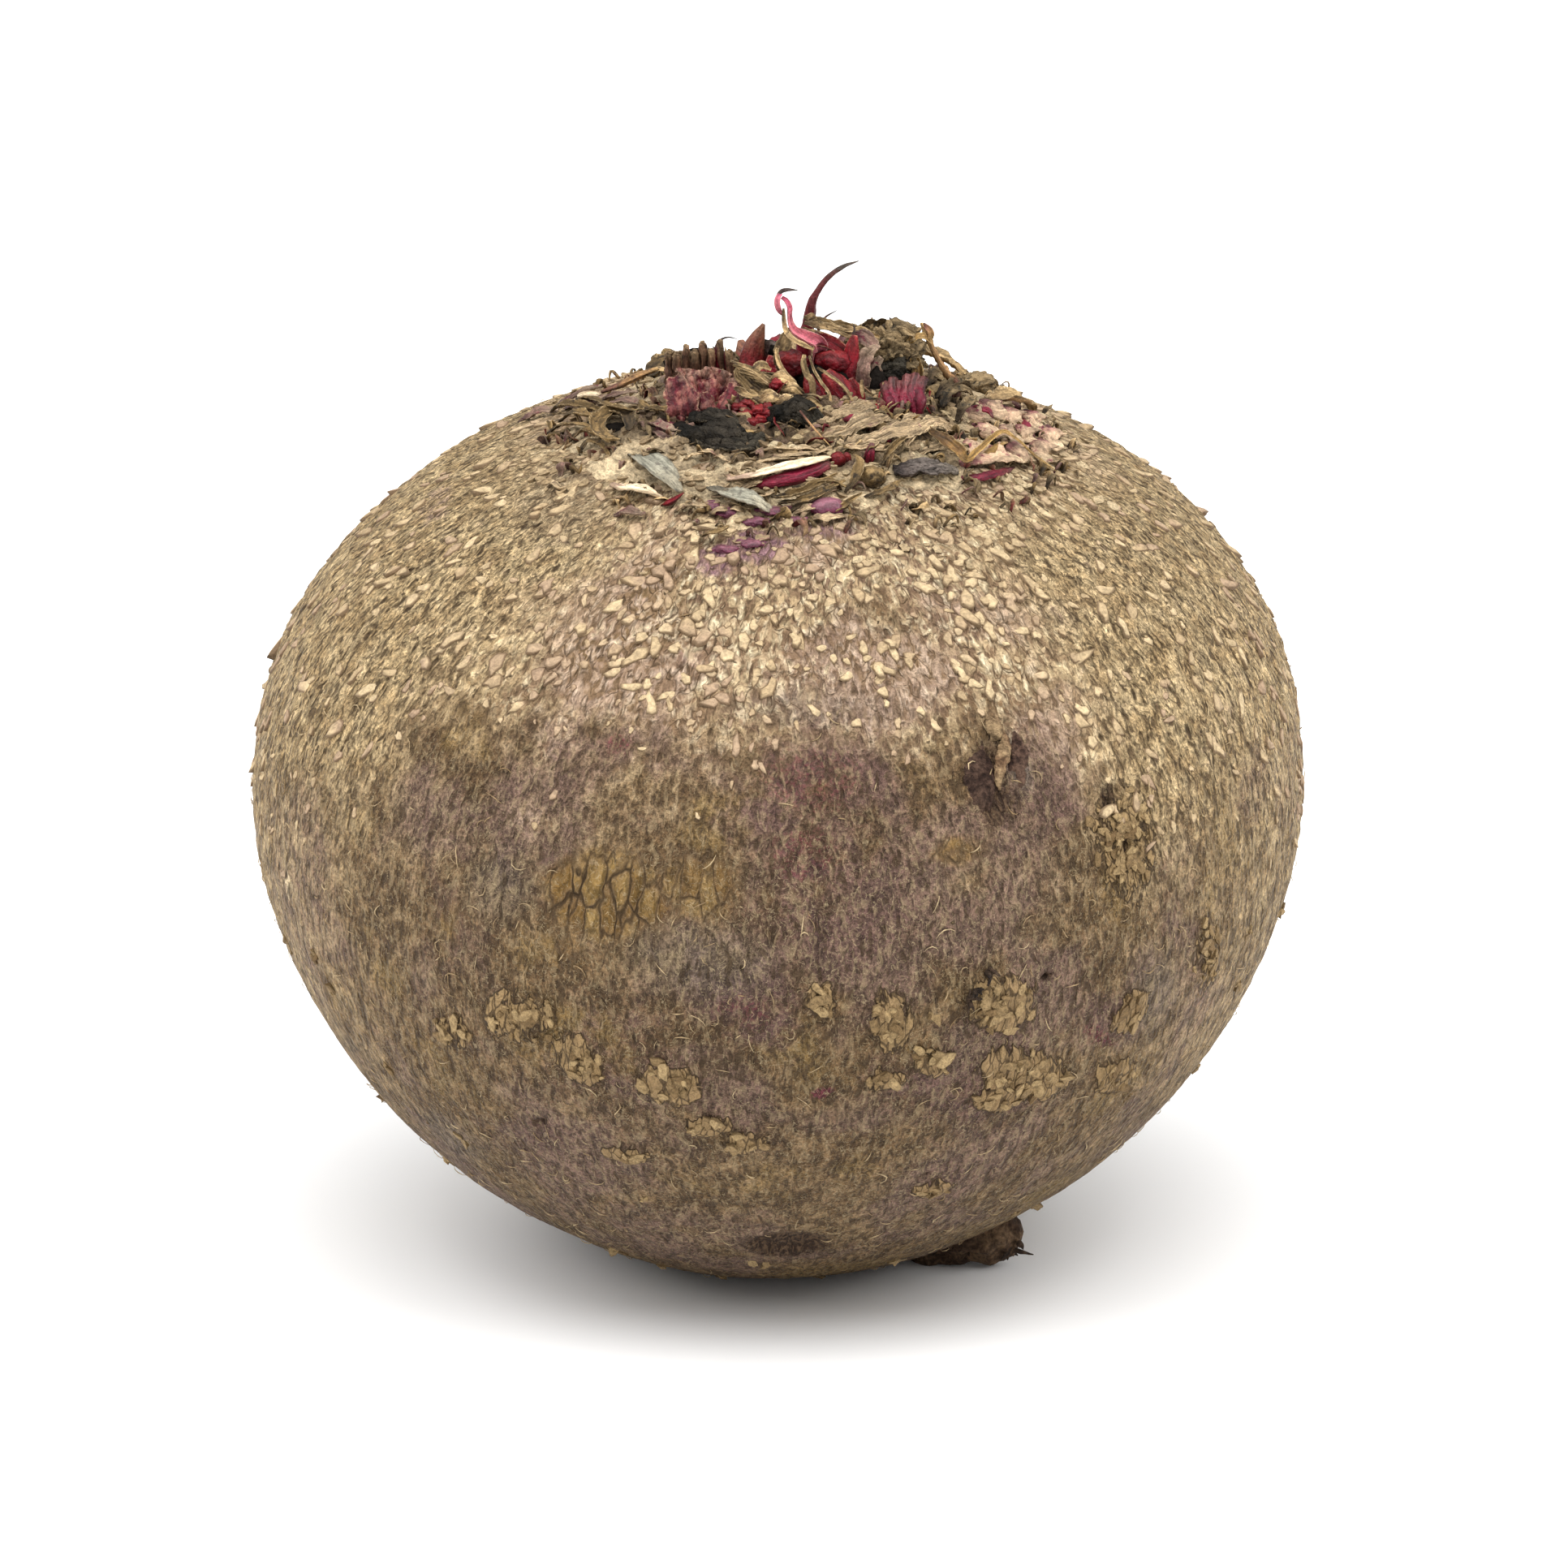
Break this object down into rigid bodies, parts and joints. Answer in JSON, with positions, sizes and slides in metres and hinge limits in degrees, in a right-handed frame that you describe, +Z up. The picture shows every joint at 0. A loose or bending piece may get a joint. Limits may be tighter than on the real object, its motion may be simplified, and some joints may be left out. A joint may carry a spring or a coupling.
{
  "type": "beetroot",
  "caption": "Round table beetroot with a corky brown skin, a broken taproot and a crown of dry and crimson leaf stubs, resting on a small flat spot.",
  "frame": {"origin": "centre of the flat spot that the root rests on", "axes": "+Z up, square to the resting spot; -Y towards the side that the crown leans to; +X to the right of that side"},
  "size_m": [0.0898, 0.0892, 0.0857],
  "materials": {
    "root_skin": "rough corky skin",
    "pink_flesh": "moist",
    "crimson_flesh": "moist",
    "magenta_flesh": "moist",
    "rose_flesh": "dull",
    "dark_red_stalk": "dull",
    "cream_flesh": "dull",
    "tan_dry_leaf": "dry fibrous",
    "olive_dry_leaf": "dry papery",
    "brown_dry_stalk": "dry fibrous",
    "dark_dry_stalk": "dry fibrous",
    "grey_crumbly_leaf": "crumbly",
    "grey_leaf": "dry papery",
    "black_leaf": "dry crumpled"
  },
  "bodies": {
    "root": {"beet_root": "root_skin", "pink_curled_stalk": "pink_flesh", "tall_stalk_wisp": "dark_dry_stalk", "crimson_leaf_base_left": "crimson_flesh", "crimson_leaf_base_right": "crimson_flesh", "crimson_knob": "crimson_flesh", "fin_stalk_stub": "dark_red_stalk", "back_stalk_stub_left": "dark_red_stalk", "tan_fibrous_scale": "tan_dry_leaf", "curled_dry_leaf": "tan_dry_leaf", "back_dry_leaf": "tan_dry_leaf", "back_leaf_scale_right": "tan_dry_leaf", "magenta_stalk_stub": "magenta_flesh", "purple_bud": "magenta_flesh", "back_stalk_stub_right": "magenta_flesh", "crumbly_leaf_lump": "grey_crumbly_leaf", "right_shoulder_scale": "grey_crumbly_leaf", "pleated_leaf_base": "olive_dry_leaf", "olive_curled_scale": "olive_dry_leaf", "olive_curled_strip": "olive_dry_leaf", "olive_bead": "olive_dry_leaf", "back_leaf_scale_left": "olive_dry_leaf", "rose_leaf_base": "rose_flesh", "pinkish_leaf_base": "rose_flesh", "left_dry_stalk": "brown_dry_stalk", "right_dry_stalk": "brown_dry_stalk", "seed_hull": "dark_dry_stalk", "back_crumpled_leaf": "dark_dry_stalk", "black_crumpled_leaf": "black_leaf", "cream_seed": "cream_flesh", "cream_flesh_flap": "cream_flesh", "cut_stalk_sliver": "cream_flesh", "mouldy_scale": "grey_leaf", "grey_leaf_flap": "grey_leaf", "grey_fibre_flap": "grey_leaf"}
  },
  "joints": []
}
